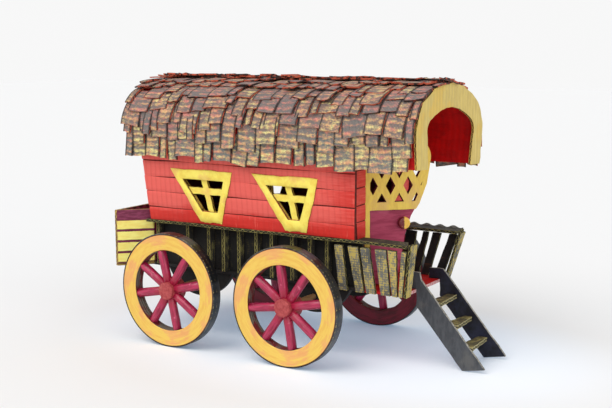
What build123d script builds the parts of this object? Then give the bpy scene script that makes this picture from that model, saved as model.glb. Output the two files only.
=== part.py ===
from build123d import *
from math import atan2, cos, degrees, radians, sin, tan
from random import Random
import os

# Handmade card model of a living wagon: bow-topped cabin on ledges, front porch
# with steps, rear crate and four spoked wheels on two axles.
# Millimetres. +X is the front (porch end), -Y the near side, +Z up, floor at z = 0.
# Lengths along X are first measured from the middle between the axles.

# Card and glue
card = 3.0                # one layer of corrugated card
glue_gap = 0.2            # between two pieces glued along a cut edge
run_gap = 0.05            # radial, between an axle and a hub's bore

# Wheels
wheel_radius = 60.0
rim_width = 17.5          # radial
rim_thick = 12.4
tyre_thick = 1.2          # paper band round the rim
wheel_base = 144.0
wheel_face_y = 100.5      # outer face of the rim
spoke_count = 8
spoke_radius = 3.7
spoke_set_back = 0.4      # from the rim's outer face
hub_radius = 10.0
hub_cap_radius = 8.0
hub_cap_proud = 3.0       # out of the rim's outer face
hub_inner_proud = 4.0     # out of the rim's inner face
axle_radius = 3.0
axle_set_back = 0.6       # from the cap's face

# Under the body
floor_above_axle = 15.0   # floor's top
floor_half_width = 46.6
floor_front = 180.0
low_wall_y = 42.0         # outer face of a low wall
low_wall_back = -128.0
ledge_rise = 50.0         # ledge's top above the floor's
ledge_half_width = 58.0
ledge_back = -133.0
ledge_front = 191.0
rib_reach_y = 50.0
rib_thick = 4.0
rib_places = (-124, -83, -55, -36, -16, 6, 25, 50, 71, 91)
bracket_radius = 46.0
bracket_drop = 31.0       # below the floor's top
bracket_y = 44.0          # outer face
bracket_thick = 6.0

# Cabin
cabin_back = -127.0
cabin_front = 127.0
wall_foot_y = 57.0        # outer face of a side wall where it stands on the ledge
wall_lean = 5.6           # degrees outwards
wall_height = 80.0        # up the slope
wall_end_reach = 5.0      # a side wall is longer by this at each end of its top
window_foot = 3.0         # up the wall, from the ledge
window_height = 56.0
opening_foot = 14.5
opening_height = 34.0
window_bar = 6.0
window_bar_height = 36.0  # middle of the cross bar, up the wall
window_proud = 2.4
bar_set_back = 1.0

# Roof
eave_rise = 70.0          # above the ledge
roof_lean = 3.0           # degrees, near eave higher
roof_back = -145.0
roof_front = 198.0
roof_half_width = 75.0    # outside of the card shell
waist_rise = 29.0         # height of the bow's legs above the eave
roof_shoulder_y = 61.0
shoulder_rise = 33.0      # above the waist
crown_rise = 19.5         # above the shoulders
flank_bulge = 4.5
eave_tuck = 4.0           # the legs come in by this at the eave
fascia_width = 22.0
shingle_thick = 2.2
shingle_lap = 5.0
shingle_course = 17.5     # aimed at, from one lower edge to the next
shingle_width = 16.0      # aimed at
shingle_slot = 0.8
shingle_lift = 0.5        # upper edge, above the shell
shingle_overhang = 3.0    # past the fascias
ridge_half_width = 15.0

# Door, drawn closed: u runs from the hinge to the free edge
hinge_y = 36.5            # near side of the doorway
door_open = 45.0          # degrees, as it stands
hinge_gap = 0.3
door_gap = 1.2
door_foot_width = 34.0
door_width = 67.0
door_height = 147.0       # above the floor
door_stile = 5.0
lattice_height = 84.0     # foot of the lattice above the floor
lattice_rail = 8.0        # below the lattice
lattice_pitch_u = 18.0
lattice_pitch_z = 16.0
diamond_half_u = 5.0
diamond_half_z = 9.0
knob_radius = 6.1
knob_thick = 5.0
knob_u = 40.3
knob_height = 62.5        # above the floor

# Porch
slat_lean_reach = 7.7     # outwards, from the floor to the ledge
post_lean_reach = 9.5     # forwards
post_foot_width = 10.0
post_top_width = 13.0

# Steps
step_foot_x = 249.0
step_foot_width = 20.0    # of a stringer, along the floor
step_head_rise = 5.0      # above the floor
step_head_width = 4.0
step_heel_drop = 19.0     # below the floor, where a stringer leaves its front edge
tread_drops = (8, 27.5, 47)
tread_thick = 4.0
tread_depth = 15.0
tread_proud = 2.0         # in front of the stringers

# Rear crate
crate_splay = 44.0        # degrees from the wagon's length
crate_side = 41.0
crate_rise = 59.0         # above the floor
crate_y = 44.0            # where a side starts
crate_board = 9.5
crate_board_gap = 2.6
crate_board_thick = 1.4
crate_board_count = 4

os.makedirs("parts", exist_ok=True)
axle_z = wheel_radius
floor_top = axle_z + floor_above_axle
floor_base = floor_top - card
ledge_top = floor_top + ledge_rise
ledge_base = ledge_top - card
eave_z = ledge_top + eave_rise
roof_waist_z = eave_z + waist_rise
roof_shoulder_z = roof_waist_z + shoulder_rise
roof_top_z = roof_shoulder_z + crown_rise
crate_top_z = floor_top + crate_rise
crate_front = ledge_back - glue_gap
crate_reach_x = crate_side * cos(radians(crate_splay))
crate_reach_y = crate_side * sin(radians(crate_splay))
crate_back = crate_front - crate_reach_x - card
origin_shift = Pos(-(crate_back + step_foot_x) / 2, 0, 0)
nodes = {}


def block(x0, x1, y0, y1, z0, z1):
    return Pos((x0 + x1) / 2, (y0 + y1) / 2, (z0 + z1) / 2) * Box(x1 - x0, y1 - y0, z1 - z0)


def outline(points):
    return make_face(Polyline(*points, close=True).edges())


def along_x(face_yz, x0, x1):
    """Carry a face drawn as (y, z) from x0 to x1."""
    return extrude(Plane(origin=(x0, 0, 0), x_dir=(0, 1, 0), z_dir=(1, 0, 0)) * face_yz, x1 - x0)


def side_plane(y, z, lean):
    """Near-side plane through (y, z): its Y runs up the slope, its Z outwards."""
    a = radians(lean)
    return Plane(origin=(0, y, z), x_dir=(1, 0, 0), z_dir=(0, -cos(a), -sin(a)))


def both_sides(name, shape):
    nodes[name + "_near"] = shape
    nodes[name + "_far"] = mirror(shape, about=Plane.XZ)


# Bow of the roof: legs, flanks and crown, at any distance inside the shell's outside
def turned(shape):
    return Pos(0, eave_z) * Rot(0, 0, -roof_lean) * Pos(0, -eave_z) * shape


def flank(y0, z0, y1, z1):
    """Arc between two points that stands out of the straight line by flank_bulge."""
    length = ((y1 - y0) ** 2 + (z1 - z0) ** 2) ** 0.5
    side = 1 if y0 > 0 else -1
    middle_y = (y0 + y1) / 2 + side * flank_bulge * abs(z1 - z0) / length
    middle_z = (z0 + z1) / 2 + flank_bulge * abs(y1 - y0) / length
    return ThreePointArc((y0, z0), (middle_y, middle_z), (y1, z1))


def bow(inset, foot_z=eave_z):
    """Edges of the bow from the near eave over the top to the far eave."""
    w = roof_half_width - inset
    sy = roof_shoulder_y - inset * 0.7
    sz = roof_shoulder_z - inset * 0.7
    foot = w - eave_tuck * (roof_waist_z - foot_z) / (roof_waist_z - eave_z)
    legs = [Line((-foot, foot_z), (-w, roof_waist_z)), Line((w, roof_waist_z), (foot, foot_z))]
    flanks = [flank(-w, roof_waist_z, -sy, sz), flank(sy, sz, w, roof_waist_z)]
    crown = ThreePointArc((-sy, sz), (0, roof_top_z - inset), (sy, sz))
    return [legs[0], flanks[0], crown, flanks[1], legs[1]]


def bow_face(inset, foot_z=eave_z):
    edges = bow(inset, foot_z)
    foot = edges[4] @ 1
    start = edges[0] @ 0
    return turned(make_face([e.edge() for e in edges] + [Line(foot, start).edge()]))


def bow_band(width, x0, x1):
    """The bow as a band that is open between the eaves."""
    return along_x(bow_face(0) - bow_face(width, eave_z - card), x0, x1)


nodes["roof_shell"] = bow_band(card, roof_back, roof_front)
nodes["fascia_front"] = bow_band(fascia_width, roof_front, roof_front + card)
nodes["fascia_rear"] = bow_band(fascia_width, roof_back - card, roof_back)


# Shingles: flat card pieces in courses, each lapped over the course below
roof_line = Wire([e.edge() for e in bow(0)])
half_roof = roof_line.length / 2
course_count = round((half_roof - shingle_lap) / shingle_course)
course = (half_roof - shingle_lap) / course_count
chance = Random(7)


def over_roof(distance, height, side):
    """Point at a distance up from the eave on side -1 (near) or 1 (far), above the shell."""
    u = distance / roof_line.length
    p = roof_line @ u
    t = roof_line % u
    return (-side * (p.X - height * t.Y), p.Y + height * t.X)


def shingle_section(k, side, seat):
    """Corners of course k: its top lies on the shell and its underside on the seat, the course below."""
    y1, z1 = over_roof((k + 1) * course + shingle_lap - glue_gap, shingle_lift, side)
    along = ((seat[0] - y1) ** 2 + (seat[1] - z1) ** 2) ** 0.5
    dy, dz = (seat[0] - y1) / along, (seat[1] - z1) / along
    length = course + shingle_lap
    y0, z0 = y1 + length * dy, z1 + length * dz
    ny, nz = side * abs(dz) * shingle_thick, abs(dy) * shingle_thick
    return [(y0, z0), (y1, z1), (y1 + ny, z1 + nz), (y0 + ny, z0 + nz)]


def shingle_row(face, spread):
    """Shingles of uneven width side by side along the roof."""
    x = roof_back - card - shingle_overhang - chance.uniform(0, spread)
    end = roof_front + card + shingle_overhang
    row = []
    while x < end - shingle_width / 2:
        width = shingle_width * chance.uniform(0.7, 1.35)
        stop = end if x + width > end - shingle_width / 2 else x + width
        row.append(along_x(face, max(x, roof_back - card - shingle_overhang), stop - shingle_slot))
        x = stop
    return row


ridge_base = 0
for side, name in ((-1, "near"), (1, "far")):
    rows = []
    seat = over_roof(0, shingle_lift + 2 * shingle_thick, side)
    for k in range(course_count):
        corners = shingle_section(k, side, seat)
        rows += shingle_row(turned(outline(corners)), shingle_width / 2)
        (y2, z2), (y3, z3) = corners[2:]
        share = (1 + glue_gap / shingle_thick)
        seat = (corners[1][0] + (y2 - corners[1][0]) * share, corners[1][1] + (z2 - corners[1][1]) * share)
    nodes["shingles_" + name] = Compound(children=rows)
    slope = (z3 - z2) / abs(y3 - y2)
    ridge_base = max(ridge_base, z2 + glue_gap, z2 + slope * ridge_half_width + glue_gap)

ridge_face = Rectangle(2 * ridge_half_width, shingle_thick, align=(Align.CENTER, Align.MIN))
nodes["ridge_caps"] = Compound(children=shingle_row(turned(Pos(0, ridge_base) * ridge_face), 2.0))

# Floor, ledges, low walls and the ribs between them
nodes["floor"] = block(ledge_back, floor_front, -floor_half_width, floor_half_width, floor_base, floor_top)
low_inner = low_wall_y - card
both_sides("ledge", block(ledge_back, ledge_front, -ledge_half_width, -low_inner, ledge_base, ledge_top))
both_sides("low_wall", block(low_wall_back, cabin_front, -low_wall_y, -low_inner, floor_top, ledge_base))
rib = block(-rib_thick / 2, rib_thick / 2, -rib_reach_y, -low_wall_y, floor_top, ledge_base)
both_sides("ribs", Compound(children=[Pos(x, 0, 0) * rib for x in rib_places]))

# Side walls with their windows
# name, frame top from and to, frame foot from and to, opening top from and to, opening foot from and to
window_table = (
    ("rear", -93, -13, -58, -31, -78, -25, -55, -35),
    ("front", 12, 90, 48, 73, 28, 78, 52, 66),
)


def trapezoid(foot0, foot1, top0, top1, low, high):
    return outline([(foot0, low), (foot1, low), (top1, high), (top0, high)])


wall_plane = side_plane(-wall_foot_y, ledge_top, wall_lean)
wall_top = (cabin_back - wall_end_reach, cabin_front + wall_end_reach)
wall_face = trapezoid(cabin_back, cabin_front, *wall_top, 0, wall_height)
for name, top0, top1, foot0, foot1, o_top0, o_top1, o_foot0, o_foot1 in window_table:
    opening = trapezoid(o_foot0, o_foot1, o_top0, o_top1, opening_foot, opening_foot + opening_height)
    frame = trapezoid(foot0, foot1, top0, top1, window_foot, window_foot + window_height) - opening
    middle = (o_top0 + o_top1 + o_foot0 + o_foot1) / 4
    upright = Pos(middle, opening_foot + opening_height / 2) * Rectangle(window_bar, opening_height)
    cross = Pos((o_top0 + o_top1) / 2, window_bar_height) * Rectangle(o_top1 - o_top0, window_bar)
    bars = (upright + cross) & opening
    shape = extrude(wall_plane * frame, window_proud)
    shape += extrude(wall_plane * bars, window_proud - bar_set_back)
    both_sides("window_" + name, shape)
    wall_face -= opening
both_sides("side_wall", extrude(wall_plane * wall_face, -card))


# End walls: they stand on the floor, pass between the low walls and fill the bow
def inner_wall_y(z):
    lean = radians(wall_lean)
    return wall_foot_y + (z - ledge_top) * tan(lean) - card / cos(lean) - glue_gap


wall_rise = wall_height * cos(radians(wall_lean)) + card * sin(radians(wall_lean))
wall_top_z = ledge_top + wall_rise + glue_gap
half = [(low_inner, floor_top), (low_inner, ledge_top), (inner_wall_y(ledge_top), ledge_top)]
half += [(inner_wall_y(wall_top_z), wall_top_z), (roof_half_width, wall_top_z)]
half += [(roof_half_width, roof_top_z)]
end_wall = outline([(-y, z) for y, z in half] + list(reversed(half)))
end_wall &= bow_face(card + glue_gap, floor_base)
nodes["rear_wall"] = along_x(end_wall, cabin_back, cabin_back + card)

# Door: a lattice face with a stile, on a back board, drawn closed as (u, z)
door_base = floor_top + door_gap
door_top = floor_top + door_height
lattice_foot = floor_top + lattice_height
# share of the width, height above the floor
door_flare = ((0.63, 50), (0.72, 69), (0.84, 82), (0.95, 101))
# in from the free edge, down from the top
door_corner = ((0, 24), (2, 10), (11, 2))
corner_points = [(door_width - inward, door_top - down) for inward, down in door_corner]
edge_points = [(0, door_base), (door_foot_width, door_base)]
edge_points += [(share * door_width, floor_top + height) for share, height in door_flare]
door_edges = Polyline(*edge_points, corner_points[0]).edges()
door_edges += [ThreePointArc(*corner_points).edge()]
door_edges += Polyline(corner_points[2], (0, door_top), (0, door_base)).edges()
door_face = make_face(door_edges)
field = offset(door_face, -door_stile, kind=Kind.INTERSECTION)
field &= outline([(0, lattice_foot), (door_width, lattice_foot), (door_width, door_top), (0, door_top)])
diamond = outline([(-diamond_half_u, 0), (0, -diamond_half_z), (diamond_half_u, 0), (0, diamond_half_z)])
holes = []
for row in range(5):
    for column in range(5):
        u = (column + 0.5 * (row % 2)) * lattice_pitch_u - 1
        holes += ((Pos(u, lattice_foot + row * lattice_pitch_z) * diamond) & field).faces()
lattice = door_face
for hole in holes:
    lattice -= hole
panel_top = lattice_foot - lattice_rail
panel = outline([(door_stile, 0), (door_width, 0), (door_width, panel_top), (door_stile, panel_top)])


def door_place(opened):
    """Places what is drawn closed, its face at cabin_front, at an opening angle."""
    return Pos(cabin_front, -hinge_y, 0) * Rot(0, 0, -opened)


leaf_face = along_x(lattice - panel, -card, 0)
leaf_back = along_x(lattice, -2 * card, -card)
knob = Rot(0, 90, 0) * Cylinder(knob_radius, knob_thick)
knob = Pos(-card + knob_thick / 2, knob_u, floor_top + knob_height) * knob
nodes["door_lattice"] = door_place(door_open) * leaf_face
nodes["door_board"] = door_place(door_open) * leaf_back
nodes["door_knob"] = door_place(door_open) * knob

doorway = offset(door_face, door_gap, kind=Kind.INTERSECTION)
doorway &= Pos(-hinge_gap, 0) * Rectangle(2 * door_width, 2 * door_top, align=(Align.MIN, Align.MIN))
front_wall = end_wall - Pos(-hinge_y, 0) * doorway
nodes["front_wall"] = along_x(front_wall, cabin_front - card, cabin_front)

# Porch: leaning slats and corner posts between floor and ledge
# from and to at the top, from and to at the foot
slat_table = (
    (104, 113, 105, 114),
    (119, 130, 124, 133),
    (133, 143, 136, 146),
    (149, 161, 152, 162),
    (164, 173, 165, 172),
)
slat_rise = ledge_base - floor_base
slat_lean = degrees(atan2(slat_lean_reach, slat_rise))
slat_length = (slat_rise - card * sin(radians(slat_lean)) - glue_gap) / cos(radians(slat_lean))
slat_y = floor_half_width + glue_gap + card / cos(radians(slat_lean))
slat_plane = side_plane(-slat_y, floor_base, slat_lean)
slats = []
for top0, top1, foot0, foot1 in slat_table:
    slats.append(extrude(slat_plane * trapezoid(foot0, foot1, top0, top1, 0, slat_length), -card))
both_sides("slats", Compound(children=slats))
post_lean = atan2(post_lean_reach, slat_rise)
post_origin = (floor_front + glue_gap, 0, floor_base)
post_plane = Plane(origin=post_origin, x_dir=(0, 1, 0), z_dir=(cos(post_lean), 0, -sin(post_lean)))
post_length = (slat_rise - glue_gap) / cos(post_lean)
post_top = (-slat_y - slat_lean_reach, -slat_y - slat_lean_reach + post_top_width)
post_face = trapezoid(-slat_y, -slat_y + post_foot_width, *post_top, 0, post_length)
both_sides("post", extrude(post_plane * post_face, card))

# Axles on their brackets
bracket_centre_z = floor_top - bracket_drop + bracket_radius
for x, name in ((wheel_base / 2, "front"), (-wheel_base / 2, "rear")):
    x0, x1 = x - bracket_radius, x + bracket_radius
    plate = Pos(x, 0, bracket_centre_z) * Rot(90, 0, 0) * Cylinder(bracket_radius, 2 * bracket_y)
    plate &= block(x0, x1, -bracket_y, bracket_thick - bracket_y, 0, floor_base)
    plate -= Pos(x, 0, axle_z) * Rot(90, 0, 0) * Cylinder(axle_radius + glue_gap, 2 * bracket_y)
    both_sides("bracket_" + name, plate)
    axle_half = wheel_face_y + hub_cap_proud - axle_set_back
    nodes["axle_" + name] = Pos(x, 0, axle_z) * Rot(90, 0, 0) * Cylinder(axle_radius, 2 * axle_half)


# Wheels, drawn about the origin with the outer face towards -Y
def ring(outer, inner, y0, y1):
    tube = Rot(90, 0, 0) * (Cylinder(outer, y1 - y0) - Cylinder(inner, y1 - y0))
    return Pos(0, (y0 + y1) / 2, 0) * tube


rim_inner = wheel_radius - rim_width
rim_outer = wheel_radius - tyre_thick
tyre = ring(wheel_radius, rim_outer + glue_gap / 2, 0, rim_thick)
rim = ring(rim_outer, rim_inner, 0, rim_thick)
bore = axle_radius + run_gap
hub = ring(hub_radius, bore, spoke_set_back, rim_thick + hub_inner_proud)
hub += ring(hub_cap_radius, bore, -hub_cap_proud, spoke_set_back)
spoke_y = spoke_set_back + spoke_radius
spoke_length = rim_inner - hub_radius - 2 * glue_gap
spoke = Pos(0, spoke_y, (rim_inner + hub_radius) / 2) * Cylinder(spoke_radius, spoke_length)
# name, place along the wagon, turn of the spokes in degrees
wheel_table = (
    ("front", wheel_base / 2, 0),
    ("rear", -wheel_base / 2, 14),
)
for name, x, turn in wheel_table:
    place = Pos(x, -wheel_face_y, axle_z)
    spokes = [Rot(0, turn + k * 360 / spoke_count, 0) * spoke for k in range(spoke_count)]
    both_sides("rim_" + name, place * rim)
    both_sides("tyre_" + name, place * tyre)
    both_sides("hub_" + name, place * hub)
    both_sides("spokes_" + name, place * Compound(children=spokes))

# Steps: two leaning stringers and three treads between them
# name, side, y of the face that the treads meet at the top and at the foot
stringer_table = (
    ("near", -1, -36, -20),
    ("far", 1, 36, 36),
)
step_head_x = floor_front + glue_gap
step_top_z = floor_top + step_head_rise
stringer_outline = [(step_foot_x - step_foot_width, -card), (step_foot_x, -card), (step_foot_x, 0)]
stringer_outline += [(step_head_x + step_head_width, step_top_z), (step_head_x, step_top_z)]
stringer_outline += [(step_head_x, floor_top - step_heel_drop), (step_foot_x - step_foot_width, 0)]
for name, side, top_y, foot_y in stringer_table:
    slope = ((top_y - foot_y) ** 2 + step_top_z ** 2) ** 0.5
    plane = Plane(origin=(0, foot_y, 0), x_dir=(1, 0, 0), z_dir=(0, -step_top_z, top_y - foot_y))
    face = outline([(x, z * slope / step_top_z) for x, z in stringer_outline])
    board = extrude(plane * face, -side * card)
    room = block(step_head_x, step_foot_x, -2 * bracket_y, 2 * bracket_y, 0, step_top_z)
    nodes["stringer_" + name] = board & room

near_top, near_foot = stringer_table[0][2] + glue_gap, stringer_table[0][3] + glue_gap
far_top, far_foot = stringer_table[1][2] - glue_gap, stringer_table[1][3] - glue_gap
between_points = [(near_foot, 0), (far_foot, 0), (far_top, step_top_z), (near_top, step_top_z)]
between = along_x(outline(between_points), 0, step_foot_x)
treads = []
for drop in tread_drops:
    top_z = floor_top - drop
    front = step_foot_x - top_z * (step_foot_x - step_head_x - step_head_width) / step_top_z + tread_proud
    tread = block(front - tread_depth, front, -2 * bracket_y, 2 * bracket_y, top_z - tread_thick, top_z)
    treads.append(tread & between)
nodes["treads"] = Compound(children=treads)

# Rear crate: splayed sides with boards, a back and a floor
crate_height = crate_top_z - floor_top
side_place = Pos(crate_front, -crate_y, floor_top) * Rot(0, 0, crate_splay)
crate_room = block(crate_back + card, crate_front, -2 * crate_y, 0, floor_top, crate_top_z)
side = side_place * block(-crate_side - card, card, 0, card, 0, crate_height)
both_sides("crate_side", side & crate_room)
boards = []
for k in range(crate_board_count):
    low = crate_board_gap / 2 + k * (crate_board + crate_board_gap)
    board = side_place * block(-crate_side, card, -crate_board_thick, 0, low, low + crate_board)
    boards.append(board & crate_room)
both_sides("crate_boards", Compound(children=boards))
back_y = crate_y + crate_reach_y
back_front = crate_back + card - glue_gap
nodes["crate_back"] = block(crate_back, back_front, -back_y, back_y, floor_top, crate_top_z)
floor_points = [(crate_front, -crate_y), (crate_back + card, -back_y), (crate_back, -back_y)]
floor_points += [(x, -y) for x, y in reversed(floor_points)]
nodes["crate_floor"] = Pos(0, 0, floor_base) * extrude(outline(floor_points), card)

for name, shape in nodes.items():
    export_step(origin_shift * shape, "parts/" + name + ".step")
print("origin shift", origin_shift.position.X)
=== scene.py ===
import math
import bmesh
import bpy
import numpy as np
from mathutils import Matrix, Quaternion, Vector


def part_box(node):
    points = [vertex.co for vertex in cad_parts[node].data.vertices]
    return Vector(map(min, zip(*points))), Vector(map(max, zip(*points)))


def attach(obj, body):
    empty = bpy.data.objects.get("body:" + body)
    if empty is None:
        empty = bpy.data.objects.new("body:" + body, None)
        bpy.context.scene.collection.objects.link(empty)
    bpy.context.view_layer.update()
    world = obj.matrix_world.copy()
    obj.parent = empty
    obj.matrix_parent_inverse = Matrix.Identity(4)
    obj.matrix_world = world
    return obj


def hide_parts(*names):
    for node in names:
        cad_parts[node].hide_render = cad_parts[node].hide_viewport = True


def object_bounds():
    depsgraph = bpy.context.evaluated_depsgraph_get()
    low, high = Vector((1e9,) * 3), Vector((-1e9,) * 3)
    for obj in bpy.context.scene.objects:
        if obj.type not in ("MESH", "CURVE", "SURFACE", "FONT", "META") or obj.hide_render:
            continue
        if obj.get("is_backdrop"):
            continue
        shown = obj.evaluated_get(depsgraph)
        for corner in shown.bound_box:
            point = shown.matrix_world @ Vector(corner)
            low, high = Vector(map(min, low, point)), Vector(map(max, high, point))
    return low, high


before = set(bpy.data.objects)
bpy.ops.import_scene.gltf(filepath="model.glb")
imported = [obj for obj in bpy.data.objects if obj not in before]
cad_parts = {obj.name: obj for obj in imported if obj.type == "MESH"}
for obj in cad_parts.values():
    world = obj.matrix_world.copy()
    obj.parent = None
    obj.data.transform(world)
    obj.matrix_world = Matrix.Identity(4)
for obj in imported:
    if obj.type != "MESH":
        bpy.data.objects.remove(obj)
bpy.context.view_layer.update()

flutePitch = 6.5  # mm, from one wave of the card to the next


def boxOf(node):
    # a CAD node's corners in mm
    low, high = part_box(node)
    return np.array(low) * 1000, np.array(high) * 1000


# Shader maths is written as plain expressions on wires
def tint(r, g, b):
    c = np.array([r, g, b]) / 255  # as seen on a screen, made linear
    c = np.where(c <= 0.04045, c / 12.92, ((c + 0.055) / 1.055) ** 2.4)
    return (*[float(v) for v in c], 1.0)


class Wire:
    # one output socket; an operator adds the Math node that works it out
    def __init__(self, graph, socket):
        self.graph, self.socket = graph, socket

    def math(self, operation, a, b=0.0):
        return self.graph.node("ShaderNodeMath", {"operation": operation}, {0: a, 1: b})

    def __add__(self, other):
        return self.math("ADD", self, other)

    def __sub__(self, other):
        return self.math("SUBTRACT", self, other)

    def __rsub__(self, other):
        return self.math("SUBTRACT", other, self)

    def __mul__(self, other):
        return self.math("MULTIPLY", self, other)

    def __truediv__(self, other):
        return self.math("DIVIDE", self, other)

    def __rtruediv__(self, other):
        return self.math("DIVIDE", other, self)

    def __abs__(self):
        return self.math("ABSOLUTE", self)

    def most(self, other):
        return self.math("MAXIMUM", self, other)

    def sine(self):
        return self.math("SINE", self)

    __radd__ = __add__
    __rmul__ = __mul__


class Graph:
    # a node tree, and the one method that adds a node: its settings, then its values or wires
    def __init__(self, tree):
        self.tree = tree

    def node(self, kind, settings=None, values=None, out=0):
        made = self.tree.nodes.new(kind)
        for key, value in (settings or {}).items():
            setattr(made, key, value)
        for key, value in (values or {}).items():
            self.set(made.inputs[key], value)
        return Wire(self, made.outputs[out])

    def set(self, socket, value):
        if isinstance(value, Wire):
            self.tree.links.new(value.socket, socket)
        elif socket.type == "RGBA" and len(value) == 3:
            socket.default_value = tint(*value)
        else:
            socket.default_value = value


class Finish(Graph):
    # one material on its Principled shader; colours of three numbers are as seen on a screen
    def __init__(self, name, roughness=0.8, coat=0.0, specular=0.35):
        self.material = bpy.data.materials.new(name)
        self.material.use_nodes = True
        super().__init__(self.material.node_tree)
        self.shader = self.tree.nodes["Principled BSDF"].inputs
        self.shader["Roughness"].default_value = roughness
        self.shader["Coat Weight"].default_value = coat
        self.shader["Coat Roughness"].default_value = 0.25
        self.shader["Specular IOR Level"].default_value = specular

    def place(self):
        here = self.node("ShaderNodeTexCoord", out="Object")
        return self.node("ShaderNodeVectorMath", {"operation": "SCALE"}, {0: here, "Scale": 1000.0})

    def sheet(self):
        return self.node("ShaderNodeAttribute", {"attribute_name": "sheet"}, out="Vector")

    def chance(self):
        return self.node("ShaderNodeAttribute", {"attribute_name": "chance"}, out="Fac")

    def parts(self, vector):
        split = self.node("ShaderNodeSeparateXYZ", values={0: vector})
        return [Wire(self, out) for out in split.socket.node.outputs]

    def noise(self, vector, by=(1, 1, 1), detail=3.0, rough=0.55):
        vector = self.node("ShaderNodeVectorMath", {"operation": "MULTIPLY"}, {0: vector, 1: by})
        values = {"Vector": vector, "Scale": 1.0, "Detail": detail, "Roughness": rough}
        return self.node("ShaderNodeTexNoise", None, values)

    def ease(self, value, low, high, top=1.0):
        values = {"Value": value, "From Min": low, "From Max": high, "To Max": top}
        return self.node("ShaderNodeMapRange", {"interpolation_type": "SMOOTHSTEP"}, values)

    def mix(self, share, a, b):
        return self.node("ShaderNodeMix", {"data_type": "RGBA"}, {0: share, 6: a, 7: b}, out=2)

    def colour(self, value):
        self.set(self.shader["Base Color"], value)

    def roughness(self, value):
        self.set(self.shader["Roughness"], value)

    def relief(self, height, deep):
        # deep is the height of the relief in mm
        bump = {"Height": height, "Distance": deep * 0.001, "Strength": 1.0}
        self.set(self.shader["Normal"], self.node("ShaderNodeBump", None, bump))


def waves(along, pitch):
    # a sine between 0 and 1 that repeats after the pitch
    return (along * (2 * math.pi / pitch)).sine() * 0.5 + 0.5


def scaled(colour, by):
    return tuple(by * c for c in colour)


# Meshes: arrays of points in mm, joined to one closed mesh at the origin
def stacked(*columns):
    # columns that broadcast to one shape, side by side as points
    return np.stack(np.broadcast_arrays(*columns), -1)


def turns(count):
    # even angles all the way round
    return np.linspace(0, 2 * math.pi, count, endpoint=False)


def gridFaces(count, nu, nv, wrapU=False, wrapV=False, start=0):
    # quads of count grids of nu by nv points that follow one another
    i, j = np.meshgrid(np.arange(nu - (not wrapU)), np.arange(nv - (not wrapV)), indexing="ij")
    iNext, jNext = (i + 1) % nu, (j + 1) % nv
    one = stacked(i * nv + j, iNext * nv + j, iNext * nv + jNext, i * nv + jNext).reshape(-1, 4)
    return (one + (np.arange(count) * nu * nv)[:, None, None]).reshape(-1, 4) + start


def slabPart(outer, inner, a, b, chance, thick=3.0):
    # a plate for each of n grids: its two faces are the grids, its edge joins their borders
    n, (nu, nv) = len(chance), outer.shape[-3:-1]
    size = nu * nv
    rim = np.concatenate([np.arange(nv), np.arange(1, nu) * nv + nv - 1,
                          (nu - 1) * nv + np.arange(nv - 2, -1, -1), np.arange(nu - 2, 0, -1) * nv])
    after = np.roll(rim, -1)
    edge = stacked(rim, after, after + n * size, rim + n * size)
    edges = (edge + (np.arange(n) * size)[:, None, None]).reshape(-1, 4)
    faces = [gridFaces(n, nu, nv), gridFaces(n, nu, nv, start=n * size), edges]
    finishes = np.repeat([0, 0, 1], [len(f) for f in faces])
    a, b = [np.tile(np.broadcast_to(way, outer.shape[:-1]).reshape(-1), 2) for way in (a, b)]
    sheet = stacked(a, b, np.repeat([thick / 2, -thick / 2], n * size))
    points = np.concatenate([outer.reshape(-1, 3), inner.reshape(-1, 3)])
    return points, np.concatenate(faces), finishes, sheet, np.tile(np.repeat(chance, size), 2)


def ringPart(points, sheet, chance, wrapU=True, wrapV=True, finish=0):
    # a closed skin: a way of the grid wraps, or its ends have shrunk to a point
    n, (nu, nv) = len(chance), points.shape[-3:-1]
    faces = gridFaces(n, nu, nv, wrapU, wrapV)
    return (points.reshape(-1, 3), faces, np.full(len(faces), finish), sheet.reshape(-1, 3),
            np.repeat(chance, nu * nv))


def storeSheet(mesh, sheet, chance):
    # what the finishes read: a place on the piece in mm, and one random number for each plate
    for name, kind, field, values in (("sheet", "FLOAT_VECTOR", "vector", sheet),
                                      ("chance", "FLOAT", "value", chance)):
        held = mesh.attributes.new(name, kind, "POINT")
        held.data.foreach_set(field, values.astype(np.float32).reshape(-1))


def makePiece(name, slot, parts, finishes, **settings):
    # parts one after another in one mesh, each part's faces moved on by the points before it
    starts = np.cumsum([0] + [len(p[0]) for p in parts])
    parts = [(p[0], p[1] + start, *p[2:]) for p, start in zip(parts, starts)]
    points, faces, finish, sheet, chance = [np.concatenate(column) for column in zip(*parts)]
    mesh = bpy.data.meshes.new(name)
    mesh.from_pydata((points * 0.001).tolist(), [], faces.tolist())
    mesh.polygons.foreach_set("material_index", finish.astype(np.int32))
    storeSheet(mesh, sheet, chance)
    finishMesh(name, slot, mesh, finishes, **settings)


def addObject(name, data, turn=None):
    # only the camera and the lamps are turned
    made = bpy.data.objects.new(name, data)
    bpy.context.scene.collection.objects.link(made)
    if turn is not None:
        made.rotation_mode, made.rotation_quaternion = "QUATERNION", turn
    return made


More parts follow.
